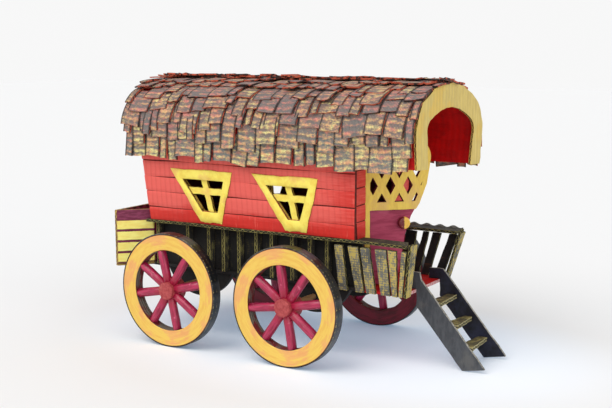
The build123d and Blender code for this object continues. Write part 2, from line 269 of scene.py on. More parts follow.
def finishMesh(name, slot, mesh, finishes, body="wagon", node=None, smooth=35, bevel=0.0):
    # a piece replaces the CAD node that its name starts with
    node = node or name.rpartition("_")[0]
    # doubles at seams and poles are merged before the faces are turned outwards
    work = bmesh.new()
    work.from_mesh(mesh)
    bmesh.ops.remove_doubles(work, verts=work.verts, dist=2e-6)
    bmesh.ops.recalc_face_normals(work, faces=work.faces)
    work.to_mesh(mesh)
    work.free()
    mesh.polygons.foreach_set("use_smooth", np.ones(len(mesh.polygons), bool))
    mesh.set_sharp_from_angle(angle=math.radians(smooth))
    for finish in finishes:
        mesh.materials.append(finish.material)
    piece = addObject(name, mesh)
    if bevel:
        rounding = piece.modifiers.new("bevel", "BEVEL")
        rounding.width, rounding.segments = bevel * 0.001, 2
        rounding.limit_method, rounding.angle_limit = "ANGLE", math.radians(40)
    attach(piece, body)
    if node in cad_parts:
        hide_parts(node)


def islandLabels(count, edges):
    # every point takes the least label among its neighbours, until nothing changes
    labels = np.arange(count)
    while True:
        before = labels.copy()
        np.minimum.at(labels, edges[:, 0], before[edges[:, 1]])
        np.minimum.at(labels, edges[:, 1], labels[edges[:, 0]])
        labels = labels[labels]
        if np.array_equal(before, labels):
            return np.unique(labels, return_inverse=True)[1]


def read(items, field, width=1, kind=float):
    values = np.empty(len(items) * width, kind)
    items.foreach_get(field, values)
    return values.reshape(-1, width) if width > 1 else values


card = {"bevel": 0.35, "wobble": 0.12, "step": 6.0}  # mm


def cardPiece(node, slot, finishes, seed, body):
    # a CAD node as cut card: merged, its cut edges told from its faces, its corners rounded
    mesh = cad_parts[node].data.copy()
    mesh.materials.clear()
    work = bmesh.new()
    work.from_mesh(mesh)
    bmesh.ops.remove_doubles(work, verts=work.verts, dist=2e-6)
    bmesh.ops.dissolve_limit(work, angle_limit=math.radians(1), verts=work.verts, edges=work.edges)
    step = card["step"] * 0.001
    for edge in [e for e in work.edges if e.calc_length() > 2 * step]:
        bmesh.ops.subdivide_edges(work, edges=[edge], cuts=int(edge.calc_length() / step))
    work.to_mesh(mesh)
    work.free()
    points = read(mesh.vertices, "co", 3) * 1000
    label = islandLabels(len(points), read(mesh.edges, "vertices", 2, np.int64))
    normals = read(mesh.polygons, "normal", 3)
    areas = read(mesh.polygons, "area")
    corner = read(mesh.loops, "vertex_index", 1, np.int64)
    own = label[corner[read(mesh.polygons, "loop_start", 1, np.int64)]]
    count = label.max() + 1
    # the thin way of a piece is where most of its area faces, its long way its widest other spread
    facing = np.zeros((count, 3, 3))
    np.add.at(facing, own, areas[:, None, None] * normals[:, :, None] * normals[:, None, :])
    thin = np.linalg.eigh(facing)[1][:, :, 2]
    total = np.bincount(label, minlength=count)[:, None]
    middle = stacked(*[np.bincount(label, points[:, k], count) for k in range(3)]) / total
    away = points - middle[label]
    flat = away - (away * thin[label]).sum(-1, keepdims=True) * thin[label]
    spread = np.zeros((count, 3, 3))
    np.add.at(spread, label, flat[:, :, None] * flat[:, None, :])
    long = np.linalg.eigh(spread)[1][:, :, 2]
    sheet = stacked(*[(away * way[label]).sum(-1) for way in (long, np.cross(thin, long), thin)])
    # an uneven cut: each point moves a little in the plane of its card, never past the node's box
    waved = np.array([[0.31, 0.9, 0.2], [0.23, 0.17, 0.8], [0.11, 0.33, 0.25]])
    rough = np.sin(points @ waved + label[:, None])
    moved = points + card["wobble"] * (rough - (rough * thin[label]).sum(-1, keepdims=True) * thin[label])
    moved = moved.clip(points.min(0), points.max(0))
    mesh.vertices.foreach_set("co", (moved * 0.001).reshape(-1))
    cut = abs((normals * thin[own]).sum(-1)) < 0.7
    mesh.polygons.foreach_set("material_index", cut.astype(np.int32))
    storeSheet(mesh, sheet, np.random.default_rng(seed).random(count)[label])
    finishMesh(node + "_card", slot, mesh, finishes, body, bevel=card["bevel"])


print("finishes")
# Brushed paint on card. Tints are as seen on a screen; streak is the stroke's stretch along x, y, z
def brushed(name, base, streak, other, patch=None, share=0.5, dust=0.15, roughness=0.62,
            flutes=None, fluteDepth=0.12):
    f = Finish(name, roughness)
    p = f.place()
    stroke = f.noise(p, streak, 4, 0.6)
    fine = f.noise(p, tuple(2.7 * s for s in streak), 3, 0.7)
    cloud = f.noise(p, (0.035, 0.035, 0.035), 2, 0.5)
    colour = f.mix(f.ease(stroke, 0.36, 0.66), base, other)
    if patch:
        colour = f.mix(f.ease(cloud + fine * 0.25, 0.66, 0.78, share), colour, patch)
    height = fine * 0.06 + stroke * 0.05
    if flutes is not None:
        wave = waves(f.parts(p)[flutes] + cloud * 3, flutePitch)
        colour = f.mix(wave * 0.16, colour, scaled(base, 0.72))
        height = height + wave * fluteDepth
    grit = f.ease(f.noise(p, (0.9, 0.9, 0.9), 2, 0.6), 0.62, 0.8, dust)
    colour = f.mix(grit, colour, scaled(base, 0.6))
    colour = f.mix(f.chance() * 0.08, colour, scaled(base, 0.85))
    f.colour(colour)
    f.roughness(stroke * 0.25 + (roughness - 0.12))
    f.relief(height, 1.0)
    return f


# A cut edge of the card: two liners and the wavy middle sheet between them, in the liner colour; the open
# flutes between them are painted shade, in the colour given after the liner
def cutEdge(name, liner, fluteShade, smear, share=0.5):
    f = Finish(name, 0.85)
    a, b, c = f.parts(f.sheet())
    wobble = f.noise(f.place(), (0.25, 0.25, 0.25), 2, 0.5)
    line = ((a + b) * (2 * math.pi / flutePitch) + wobble * 4).sine() * 0.95
    near = 1 - f.ease(abs(c - line), 0.2, 0.55)
    sides = f.ease(abs(c), 0.95, 1.25)
    solid = near.most(sides)
    paint = f.ease(f.noise(f.place(), (0.12, 0.12, 0.12), 4, 0.6), 0.62 - 0.3 * share, 0.68)
    # paper in the liner colour, painted shade in the open flutes between
    colour = f.mix(solid, fluteShade, liner)
    colour = f.mix(paint * share, colour, smear)
    f.colour(colour)
    f.relief(solid, 0.5)
    return f


# Dark card dry-brushed over: the strokes catch the ridges of the weave
def dryBrushed(name, dark, strokes, amount=0.5, along=(0.06, 0.5, 0.5), roughness=0.8, weave=1.6):
    f = Finish(name, roughness)
    p = f.place()
    x, y, z = f.parts(p)
    ridge = waves(x + y * 0.4, weave) * 0.5 + waves(z + y * 0.7, weave * 1.15) * 0.5
    sweep = f.noise(p, along, 4, 0.65)
    spread = f.noise(p, (0.05, 0.05, 0.05), 3, 0.6)
    catch = sweep + spread * 0.6 + ridge * 0.22 + f.chance() * 0.1
    catch = f.ease(catch, 1.16 - 0.4 * amount, 1.34 - 0.4 * amount)
    colour = f.mix(f.ease(spread, 0.3, 0.7), dark, tuple(1.35 * c + 6 for c in dark))
    f.colour(f.mix(catch * 0.85, colour, strokes))
    f.roughness(catch * 0.1 + roughness - 0.05)
    f.relief(ridge * 0.25 + sweep * 0.3, 0.35)
    return f


def plankFinish():
    # coral strokes over deep red: redder low on the wall and at the porch end
    f = Finish("planks", 0.6)
    p = f.place()
    x, y, z = f.parts(p)
    stroke = f.noise(p, (0.05, 0.05, 0.55), 5, 0.6)
    across = f.noise(p, (0.35, 0.35, 0.05), 3, 0.6)
    cloud = f.noise(p, (0.02, 0.02, 0.03), 2, 0.5)
    low = 1 - f.ease(z + cloud * 18, 138.0, 158.0)
    front = f.ease(x + cloud * 30, 62.0, 100.0)
    deep = (low * 0.62).most(front * 0.36) + f.chance() * 0.2 + stroke * 0.8 - 0.4
    colour = f.mix(f.ease(deep, 0.0, 0.75), (228, 96, 86), (206, 42, 32))
    wave = waves(x + cloud * 4, flutePitch)
    colour = f.mix(f.ease(wave + across * 0.8, 0.9, 1.6, 0.22), colour, (176, 40, 34))
    colour = f.mix(f.ease(across, 0.6, 0.75, 0.35), colour, (244, 122, 104))
    f.colour(colour)
    f.roughness(stroke * 0.3 + 0.42)
    f.relief(wave * 0.22 + stroke * 0.18, 0.8)
    return f


def shingleFinish(edge=False):
    # paint dragged over the flutes lies on their ridges in blots, dark grey stays between
    f = Finish("shingle_edge" if edge else "shingle", 0.8)
    p = f.place()
    a, b, c = f.parts(f.sheet())
    x, y, z = f.parts(p)
    chance = f.chance()
    blot = f.noise(p, (0.08, 0.17, 0.17), 4, 0.65)
    dab = f.noise(p, (0.26, 0.5, 0.5), 3, 0.65)
    cloud = f.noise(p, (0.02, 0.035, 0.035), 2, 0.5)
    fine = f.noise(p, (1.1, 1.1, 1.1), 3, 0.7)
    wave = waves(b + blot * 5 + chance * 6.5, 5.8)
    line = waves(a + fine * 0.9, 1.5)
    high = f.ease(z + cloud * 34 - x * 0.05, 222.0, 268.0)
    grey = f.mix((chance * 0.8 + cloud * 0.6 - 0.35), (116, 124, 120), (130, 112, 102))
    grey = f.mix(high * 0.5, grey, (128, 100, 96))
    hue = f.noise(p, (0.1, 0.13, 0.13), 4, 0.75) * 1.3 + chance * 0.24 - high * 0.14 - 0.08
    paint = f.mix(f.ease(hue, 0.46, 0.62), (230, 140, 126), (240, 182, 128))
    paint = f.mix(f.ease(hue, 0.62, 0.8), paint, (250, 234, 154))
    catch = wave * 0.24 + blot * 1.25 + dab * 1.1 + fine * 0.75 + chance * 0.1 - high * 0.08
    catch = f.ease(catch, 1.5, 2.02, 0.95)
    colour = f.mix(catch, grey, paint)
    colour = f.mix(f.ease(line * 0.35 + fine * 0.8, 0.5, 0.82, 0.6), colour, (48, 46, 48))
    if edge:
        rust = f.ease(f.noise(p, (0.16, 0.2, 0.2), 3, 0.6) + chance * 0.2, 0.52, 0.68)
        colour = f.mix(rust, (46, 32, 30), (196, 92, 66))
    else:
        # painted shade down its sides, as in the gaps between plates, and salmon along the lower edge
        colour = f.mix((1 - f.ease(c + fine * 2.4, 1.6, 3.6)) * 0.92, colour, (32, 28, 28))
        lip = 1 - f.ease(b + fine * 2.6 + blot * 2, 1.5, 3.0)
        colour = f.mix(lip * 0.65, colour, (200, 100, 76))
    f.colour(colour)
    f.roughness(catch * 0.12 + 0.7)
    f.relief(wave * 0.6 + line * 0.1 + fine * 0.2 + dab * 0.3, 1.0)
    return f


def ringFinish(name, base, other, patch, roughness=0.5, share=0.7, bare=None):
    # strokes follow the ring: the sheet holds the radius, and cosine and sine of the turn times 40
    f = Finish(name, roughness, 0.15)
    p = f.sheet()
    stroke = f.noise(p, (0.55, 0.09, 0.09), 4, 0.62)
    cloud = f.noise(p, (0.06, 0.05, 0.05), 3, 0.5)
    colour = f.mix(f.ease(stroke, 0.4, 0.66), base, other)
    colour = f.mix(f.ease(cloud + stroke * 0.35 + f.chance() * 0.05, 0.68, 0.84, share), colour, patch)
    if bare:
        # card shows in dashes through the black, along the outer edge and in the middle of the band
        y = f.parts(f.place())[1]
        lines = 1.6 - f.ease(abs(abs(y) - 99.7), 0.2, 0.9) - f.ease(abs(abs(y) - 94.3), 0.1, 0.7, 0.6)
        dash = f.ease(f.noise(p, (0.5, 0.5, 0.5), 3, 0.75), 0.5, 0.6)
        colour = f.mix(lines * dash * 0.75, colour, bare)
    f.colour(colour)
    f.roughness(stroke * 0.3 + roughness - 0.15)
    f.relief(stroke * 0.3 + f.noise(p, (1.4, 0.3, 0.3), 3, 0.6) * 0.15, 0.5)
    return f


def rimInsideFinish():
    # stacked layers of card seen from within
    f = Finish("rim_inside", 0.85)
    p = f.place()
    layer = waves(f.parts(p)[1], 3.1)
    spot = f.noise(p, (0.35, 0.35, 0.35), 4, 0.7)
    red = f.ease(f.noise(p, (0.06, 0.1, 0.06), 3, 0.6), 0.42, 0.6)
    colour = f.mix(red, (104, 98, 88), (112, 22, 28))
    colour = f.mix(f.ease(layer + spot * 0.7, 1.0, 1.45, 0.8), colour, (34, 22, 22))
    colour = f.mix(f.ease(spot, 0.64, 0.72, 0.75), colour, (196, 186, 172))
    f.colour(colour)
    f.relief(layer * 0.7 + spot * 0.5, 0.8)
    return f


def tubeFinish():
    # glossy paint on a rolled paper tube, thin where the brush lifted
    f = Finish("spoke_paint", 0.3, 0.2, 0.4)
    along = f.parts(f.sheet())[0]
    stroke = f.noise(f.sheet(), (0.05, 0.5, 0.5), 4, 0.6)
    spot = f.noise(f.place(), (0.14, 0.14, 0.14), 3, 0.6)
    colour = f.mix(f.ease(stroke, 0.4, 0.68), (176, 38, 80), (120, 10, 44))
    colour = f.mix(f.ease(spot, 0.62, 0.72, 0.6), colour, (222, 112, 142))
    colour = f.mix(f.ease(abs(along - 30) + spot * 9, 15.0, 19.0, 0.5), colour, (150, 20, 40))
    f.colour(colour)
    f.roughness(stroke * 0.35 + 0.16)
    f.relief(stroke, 0.25)
    return f


def floorFinish():
    # red on the porch, black under the cabin and behind it
    f = Finish("floor_paint", 0.6)
    p = f.place()
    x = f.parts(p)[0]
    stroke = f.noise(p, (0.06, 0.3, 0.3), 4, 0.6)
    porch = f.ease(x + stroke * 6, 82.0, 86.0)
    red = f.mix(f.ease(stroke, 0.35, 0.65), (206, 18, 14), (176, 8, 10))
    colour = f.mix(porch, (18, 16, 15), red)
    rim = f.ease(x, 133.2, 133.9) * f.ease(f.noise(p, (0.3, 0.3, 0.3), 3, 0.6), 0.3, 0.5)
    f.colour(f.mix(rim * 0.8, colour, (222, 188, 186)))
    f.relief(stroke, 0.2)
    return f


def crateFinish():
    # magenta, with painted shade in dark half-moons along the upper edge, where the cut shows the open flutes
    f = Finish("crate_magenta", 0.6)
    p = f.place()
    along, z = f.parts(f.sheet())[0], f.parts(p)[2]
    stroke = f.noise(p, (0.1, 0.1, 0.4), 4, 0.6)
    colour = f.mix(f.ease(stroke, 0.35, 0.65), (142, 60, 92), (108, 36, 62))
    fluteHollowShade = f.ease(waves(along + stroke * 2, 11.0) * 0.7 + f.ease(z, 129.0, 133.6), 1.1, 1.25)
    f.colour(f.mix(fluteHollowShade * 0.85, colour, (40, 18, 22)))
    f.relief(stroke, 0.3)
    return f


planks = plankFinish()
seams = brushed("seams", (74, 22, 16), (0.1, 0.1, 0.4), (110, 34, 26), roughness=0.85)
shingle, shingleEdge = shingleFinish(), shingleFinish(True)
roofRed = brushed("roof_inside", (206, 0, 0), (0.05, 0.12, 0.12), (176, 0, 0), (226, 12, 8), 0.6, flutes=0)
fascia = brushed("fascia", (218, 192, 108), (0.2, 0.16, 0.06), (206, 180, 104), (226, 182, 70), 0.5, flutes=1,
                 fluteDepth=0.2)
fasciaEdge = cutEdge("fascia_edge", (206, 170, 84), (54, 42, 30), (216, 172, 66), 0.5)
windowPaint = brushed("window", (253, 234, 106), (0.12, 0.12, 0.12), (244, 214, 88), (232, 142, 120), 0.3,
                      dust=0.1)
windowEdge = cutEdge("window_edge", (190, 152, 52), (84, 56, 24), (196, 160, 58), 0.6)
lining = cutEdge("window_lining", (222, 178, 76), (112, 78, 36), (196, 150, 62), 0.5)
black = dryBrushed("body", (40, 38, 35), (138, 130, 78), 0.42, (0.3, 0.3, 0.12))
# near-black for the low wall and the brackets: black paint, darker still as painted shade under the ledge
black_and_painted_shade = dryBrushed("black_and_painted_shade", (13, 12, 11), (84, 76, 40), 0.3, (0.25, 0.25, 0.08))
slatPaint = dryBrushed("slats", (84, 84, 80), (196, 172, 84), 0.66, (0.4, 0.4, 0.22), weave=1.9)
olive = cutEdge("olive_edge", (146, 136, 74), (18, 16, 13), (34, 32, 28), 0.75)
farSlats = dryBrushed("far_slats", (20, 19, 18), (96, 60, 34), 0.16)
floorPaint = floorFinish()
rimPaint = ringFinish("rim_paint", (228, 190, 86), (222, 174, 76), (224, 144, 104), share=0.55)
farRim = ringFinish("far_rim", (124, 14, 34), (98, 10, 24), (80, 8, 14))
rimInside = rimInsideFinish()
tyrePaint = ringFinish("tyre", (17, 20, 25), (10, 12, 15), (92, 98, 104), 0.45, 0.45, (186, 168, 112))
spokePaint = tubeFinish()
hubPaint = brushed("hub_paint", (176, 76, 76), (0.3, 0.3, 0.3), (148, 50, 54), (202, 122, 112), 0.4)
stick = brushed("stick", (150, 112, 74), (0.3, 0.04, 0.3), (126, 90, 58))
doorPaint = brushed("door_yellow", (236, 204, 90), (0.3, 0.3, 0.08), (224, 188, 84), (214, 168, 112), 0.5)
doorEdge = brushed("door_edge", (134, 36, 66), (0.3, 0.3, 0.2), (104, 22, 44))
panel = brushed("door_magenta", (170, 58, 88), (0.06, 0.06, 0.4), (146, 40, 70), (190, 88, 112), 0.5,
                roughness=0.5)
stepPaint = brushed("step_grey", (72, 74, 78), (0.3, 0.3, 0.1), (58, 60, 64), (96, 94, 90), 0.5)
farStep = brushed("step_dark", (24, 26, 42), (0.2, 0.2, 0.2), (12, 12, 20), (40, 44, 70), 0.5)
stepEdge = brushed("step_edge", (168, 162, 150), (0.3, 0.3, 0.3), (88, 86, 80))
treadPaint = dryBrushed("tread", (58, 52, 32), (156, 142, 84), 0.62, (0.3, 0.08, 0.3))
treadEdge = cutEdge("tread_edge", (172, 162, 116), (40, 34, 24), (120, 110, 62), 0.4)
cratePaint = crateFinish()
crateBoard = brushed("crate_yellow", (255, 246, 140), (0.06, 0.06, 0.3), (250, 230, 118), (232, 192, 86), 0.4)
crateEdge = cutEdge("crate_edge", (206, 176, 84), (80, 34, 50), (200, 168, 84), 0.5)
stripGrey = brushed("strip", (150, 152, 144), (0.3, 0.3, 0.3), (112, 112, 104))


print("roof")
# The bow, as (y, z) in mm: legs, flanks and crown, at any distance inside the shell
bow = {"halfWidth": 75.0, "eave": 195.0, "waist": 224.0, "shoulderY": 61.0, "shoulderZ": 257.0,
       "top": 274.5, "bulge": 4.5, "tuck": 4.0, "lean": 3.0, "fascia": 22.0, "fasciaOut": 1.4,
       "ragged": 1.1}


def arcThrough(p0, p1, p2, count):
    # the circle's middle is where the two chords' perpendiculars meet, and its angle runs evenly
    (ax, ay), (bx, by), (cx, cy) = p0, p1, p2
    d = 2 * (ax * (by - cy) + bx * (cy - ay) + cx * (ay - by))
    sa, sb, sc = ax * ax + ay * ay, bx * bx + by * by, cx * cx + cy * cy
    ux = (sa * (by - cy) + sb * (cy - ay) + sc * (ay - by)) / d
    uy = (sa * (cx - bx) + sb * (ax - cx) + sc * (bx - ax)) / d
    turn = np.unwrap(np.arctan2([ay - uy, by - uy, cy - uy], [ax - ux, bx - ux, cx - ux]))
    angle = np.linspace(turn[0], turn[2], count)
    radius = math.hypot(ax - ux, ay - uy)
    return stacked(ux + radius * np.cos(angle), uy + radius * np.sin(angle))


def bowLine(inset, count=40):
    # half of it, from the far eave to the crown, mirrored, then leaned about the eave
    w = bow["halfWidth"] - inset
    shoulder = (bow["shoulderY"] - 0.7 * inset, bow["shoulderZ"] - 0.7 * inset)
    leg = np.linspace((w - bow["tuck"], bow["eave"]), (w, bow["waist"]), count)
    dy, dz = shoulder[0] - w, shoulder[1] - bow["waist"]
    long = math.hypot(dy, dz)
    middle = ((w + shoulder[0]) / 2 + bow["bulge"] * dz / long,
              (bow["waist"] + shoulder[1]) / 2 - bow["bulge"] * dy / long)
    flank = arcThrough((w, bow["waist"]), middle, shoulder, count)
    mirrored = (-shoulder[0], shoulder[1])
    crown = arcThrough(shoulder, (0, bow["top"] - inset), mirrored, 2 * count + 1)
    half = np.concatenate([leg, flank[1:], crown[1:count + 1]])
    line = np.concatenate([half, half[::-1] * (-1, 1)])
    line = line[np.concatenate([[True], np.hypot(*np.diff(line, axis=0).T) > 1e-6])]
    a = math.radians(bow["lean"])
    y, z = line[:, 0], line[:, 1] - bow["eave"]
    return stacked(y * math.cos(a) + z * math.sin(a), bow["eave"] - y * math.sin(a) + z * math.cos(a))


def lineLength(line):
    # the length run at each point: the sum of the steps before it
    return np.concatenate([[0], np.cumsum(np.hypot(*np.diff(line, axis=0).T))])


def pointsAt(line, run, at):
    # straight between the line's points, at a given run
    return stacked(*[np.interp(at, run, column) for column in line.T])


def between(left, right, share):
    # a grid of points from one line to the other
    share = share[:, None]
    return left[:, None] * (1 - share) + right[:, None] * share


def alongLine(line, distance):
    # point and outward normal at a distance from the line's start, which is the far eave
    run = lineLength(line)
    ty, tz = np.gradient(line, run, axis=0).T
    y, z, ny, nz = [np.interp(distance, run, values) for values in (*line.T, tz, -ty)]
    long = np.hypot(ny, nz)
    past = np.minimum(distance, 0)  # below the eave the line goes on straight
    return y + past * ty[0], z + past * tz[0], ny / long, nz / long


shift = boxOf("side_wall_near")[0][0] + 132  # from lengths measured between the axles to the frame's
roof = {"rear": -139.6 + shift, "front": 198.0 + shift, "card": 3.0}
shingles = {"seed": 11, "courses": 8, "width": (9.0, 26.0), "thick": (1.2, 2.0), "slide": 7.0, "lift": 3.4,
            "turn": 8.0, "past": 5.0, "curl": 1.2, "gap": (0.2, 2.0), "lap": 14.0}


def shingleRow(rng, start, stop, low, length, lift, side):
    # plates side by side, each with its own width, slide, turn, lift and curl
    widths = rng.uniform(*shingles["width"], 60)
    edges = start - rng.uniform(0, 6) + np.concatenate([[0], np.cumsum(widths)])
    keep = (edges[1:] > start + 4) & (edges[:-1] < stop - 5)
    left, right = np.maximum(edges[:-1][keep], start + rng.uniform(-1.5, 1.0)), edges[1:][keep]
    right = np.minimum(right, stop)
    n = len(left)
    col = lambda value: np.asarray(value)[:, None, None]
    u, v = np.meshgrid(np.linspace(-0.5, 0.5, 4), np.linspace(0, 1, 9), indexing="ij")
    wide = right - left - rng.uniform(*shingles["gap"], n) + 3.0 * (rng.random(n) < 0.2)
    across, up = col(wide) * u, col(length + rng.uniform(-2, 4, n)) * v
    turn = np.radians(np.clip(rng.normal(0, 0.5, n), -1.2, 1.2) * shingles["turn"])
    chance = rng.random(n)
    ragged = np.sin(across * 0.9 + col(chance * 40)) * 0.5 + np.sin(across * 2.1 + col(chance * 90)) * 0.3
    x = col((left + right) / 2) + across * np.cos(col(turn)) - (up - 16) * np.sin(col(turn))
    s = col(low(n)) + up * np.cos(col(turn)) + across * np.sin(col(turn)) + ragged * (1 - v) ** 4
    raised = lift(n)
    free = 1 - v
    under = 0.4 + col(raised) * free ** 1.25 + across * col(rng.uniform(-0.05, 0.05, n)) * free
    under = under + col(rng.uniform(-0.4, 1, n)) * shingles["curl"] * (2 * u) ** 2 * free
    shell = bowLine(0) if side > 0 else bowLine(0)[::-1]
    grids = []
    for h in (under + col(rng.uniform(*shingles["thick"], n)), under):
        y, z, ny, nz = alongLine(shell, s)
        grids.append(stacked(x, y + side * ny * h, z + side * nz * h))
    part = slabPart(*grids, across, up, chance)
    part[3][:, 2] = np.tile((col(wide) / 2 - abs(across)).reshape(-1), 2)  # mm from the nearer side
    return part


def shingleSide(side, rng):
    # side 1 is far: the lower edges of a course lie on the course below, none of them in line
    courses, slide = shingles["courses"], shingles["slide"]
    course = (lineLength(bowLine(0))[-1] / 2 - 5) / courses
    start, length = roof["rear"] - shingles["past"], course + shingles["lap"]
    parts = []
    for k in range(courses):
        stop = roof["front"] + (7.0 * k / courses if side < 0 else 0.0) - 0.3
        low = lambda n: k * course + (rng.uniform(-slide, slide, n) if k else rng.uniform(-5.5, 0.5, n))
        lift = lambda n: 2.6 + rng.uniform(0, 1.2, n) + shingles["lift"] * rng.random(n) ** 2.5
        parts.append(shingleRow(rng, start, stop, low, length, lift, side))
    return parts


rng = np.random.default_rng(shingles["seed"])
for side, name in ((-1, "near"), (1, "far")):
    makePiece("shingles_" + name + "_cut", "shingle_grey", shingleSide(side, rng), (shingle, shingleEdge))


def ridgeCaps(rng):
    # two loose rows laid over the crown, lower towards the porch
    half = lineLength(bowLine(0))[-1] / 2
    top = boxOf("ridge_caps")[1][2]
    parts = []
    for k, lifted in enumerate((2.4, 3.6)):
        low = lambda n: half - 15 + rng.uniform(-3, 3, n)
        lift = lambda n: lifted + rng.uniform(-0.6, 1.2, n)
        part = shingleRow(rng, roof["rear"] - 4, roof["front"] - 2, low, 24.0, lift, 1 - 2 * k)
        x, y, z = part[0].T
        reach = (roof["front"] - x) / (roof["front"] - roof["rear"])
        z[:] = np.minimum(z + 1.4, top - 0.5 - 3.2 * np.clip(1 - reach * 3, 0, 1))
        parts.append(part)
    return parts


makePiece("ridge_caps_cut", "shingle_grey", ridgeCaps(rng), (shingle, shingleEdge))


def roofSkin():
    # the card shell: the bow line and the one inside it, drawn out along the wagon
    t = np.linspace(0, 1, 120)
    x = roof["rear"] + (roof["front"] - roof["rear"]) * np.linspace(0, 1, 24)[:, None]
    grids = []
    for inset in (0.0, roof["card"]):
        line = bowLine(inset)
        run = lineLength(line)
        grids.append(stacked(x, *pointsAt(line, run, t * run[-1]).T))
    return slabPart(*grids, x, t * run[-1], np.array([0.5]))


makePiece("roof_skin", "roof_red", [roofSkin()], (roofRed, fasciaEdge), node="roof_shell")


def bowPlate(back, rng):
    # a plate from just outside the shell to a line inside it, from eave to eave, its edges torn a little
    outer, ragged = bow["fasciaOut"], bow["ragged"]
    t = np.linspace(0, 1, 150)
    lines, lengths = [], []
    for inset, shake in ((-outer, ragged), (bow["fascia"], ragged * 0.5)):
        line = bowLine(inset)
        run = lineLength(line)
        point = pointsAt(line, run, t * run[-1])
        noise = np.interp(t, np.linspace(0, 1, 38), rng.uniform(-1, 1, 38)) * shake
        away = point - np.array([0, bow["waist"]])
        lines.append(point + away / np.hypot(*away.T)[:, None] * noise[:, None])
        lengths.append(run[-1])
    v = np.array([0, 0.03, 0.2, 0.4, 0.6, 0.8, 0.97, 1])
    flat = between(*lines, v)
    ends = np.abs(np.abs(v - 0.5) - 0.5) < 0.01
    faces = [stacked(x - way * 0.35 * ends, flat[..., 0], flat[..., 1])
             for x, way in ((back + roof["card"], 1), (back, -1))]
    return slabPart(*faces, (t * lengths[0])[:, None], (bow["fascia"] + outer) * v, rng.random(1))


for name, back in (("front", roof["front"]), ("rear", roof["rear"] - roof["card"])):
    makePiece("fascia_" + name + "_card", "fascia_ochre", [bowPlate(back, rng)], (fascia, fasciaEdge))

print("walls")
wall = {"foot": 57.0, "base": 125.0, "lean": 5.6, "proud": 0.9, "height": 80.0, "lowHalf": 38.6,
        "openFoot": 14.5, "openTop": 48.5, "seed": 5}
wallLow, wallHigh = boxOf("side_wall_near")
# a window frame's ends at its top and foot, then the opening's, in mm along x
windowTable = (("rear", (-93, -13), (-58, -31), (-78, -25), (-55, -35)),
               ("front", (12, 90), (48, 73), (28, 78), (52, 66)))


def wallPoint(side, x, up, h):
    # up the slope of a side wall, h out of its face
    a = math.radians(wall["lean"])
    y = wall["foot"] + up * math.sin(a) + h * math.cos(a)
    return stacked(x, side * y, wall["base"] + up * math.cos(a) - h * math.sin(a))


def plankRows(side, rng):
    # a plank is a plate between two edge lines that slant along the wall; windows cut some short
    height = wall["height"]
    rear = lambda up: wallLow[0] + 5 * (1 - up / height)
    front = lambda up: wallHigh[0] - 5 * (1 - up / height)
    foot, tall = wall["openFoot"], wall["openTop"] - wall["openFoot"]
    openings = [[lambda up, a=a, b=b: shift + a + (b - a) * (up - foot) / tall for a, b in zip(*ends)]
                for ends in [(row[4], row[3]) for row in windowTable]]
    whole = [(rear, front)]
    split = [(rear, openings[0][0]), (openings[0][1], openings[1][0]), (openings[1][1], front)]
    rows = ((0.4, 14.3, whole), (14.9, 31.6, split), (32.4, 48.3, split), (48.9, 65.6, whole),
            (66.4, 79.4, whole))
    u, v = np.linspace(0, 1, 60)[:, None], np.array([0, 0.05, 0.3, 0.7, 0.95, 1])
    parts = []
    for k, (low, high, spans) in enumerate(rows):
        for start, stop in spans:
            up = low + (high - low) * v
            x = start(up) + (stop(up) - start(up)) * u
            drift = 0.35 * np.sin(x * 0.045 + k * 2.1) + 0.2 * np.sin(x * 0.11 + k)
            up = up + drift
            if start is rear:
                x = x + (1 - u) ** 20 * rng.uniform(-1.5, 1.0)
            bulge = 0.25 * np.sin(x * 0.07 + k * 1.7) * np.sin(v * math.pi)
            rounded = wall["proud"] - 0.45 * (np.abs(v - 0.5) > 0.49) + bulge
            outer, inner = wallPoint(side, x, up, rounded), wallPoint(side, x, up, -0.3)
            parts.append(slabPart(outer, inner, x, up, rng.random(1)))
    return parts


rng = np.random.default_rng(wall["seed"])
for side, name in ((-1, "near"), (1, "far")):
    makePiece("planks_" + name, "planks_red", plankRows(side, rng), (planks, seams))


def endPlanks(node, way, cuts):
    # rows of planks on an end wall, each from its left line to its right one
    out = boxOf(node)[(way + 1) // 2][0]
    inner = bowLine(3.2)
    crown = np.argmax(inner[:, 1])
    far, near = inner[:crown + 1], inner[crown:][::-1]
    u, v = np.linspace(0, 1, 30)[:, None], np.array([0, 0.05, 0.5, 0.95, 1])
    parts = []
    tops = np.array([75.6, 92, 109, 125, 142, 158, 175, 192, 208, 224, 240, 256, 270])
    for k, (z0, z1) in enumerate(zip(tops[:-1] + 0.5, tops[1:] - 0.4)):
        z = np.minimum(z0 + (z1 - z0) * v, inner[:, 1].max() - 0.6)
        wide = np.where(z < wall["base"], wall["lowHalf"], wall["foot"] - 3.6 + (z - wall["base"]) * 0.098)
        farY, nearY = [np.interp(z, line[:, 1], line[:, 0]) for line in (far, near)]
        reach = z > bow["eave"]
        right = np.where(reach, np.minimum(farY, 90), wide) - 0.3
        left = np.where(reach, np.maximum(nearY, -90), -wide) + 0.3
        for a, b in cuts(z, left, right):
            if (b - a).max() < 2:
                continue
            y = a + (np.maximum(b, a + 0.3) - a) * u
            x = out + way * (wall["proud"] - 0.4 * (np.abs(v - 0.5) > 0.49))
            faces = [stacked(level, y, z + 0.3 * np.sin(y * 0.1 + k)) for level in (x, out - way * 0.3)]
            parts.append(slabPart(*faces, y, z, rng.random(1)))
    return parts


# flare: the door's width at heights above its foot
door = {"foot": 75.0, "hinge": -36.5, "top": 225.3, "gap": 1.4,
        "flare": ((0, 34.0), (44, 41.0), (61, 50.4), (76, 54.7), (90, 61.9), (101, 68.4), (125, 72.0),
                  (150, 72.0))}


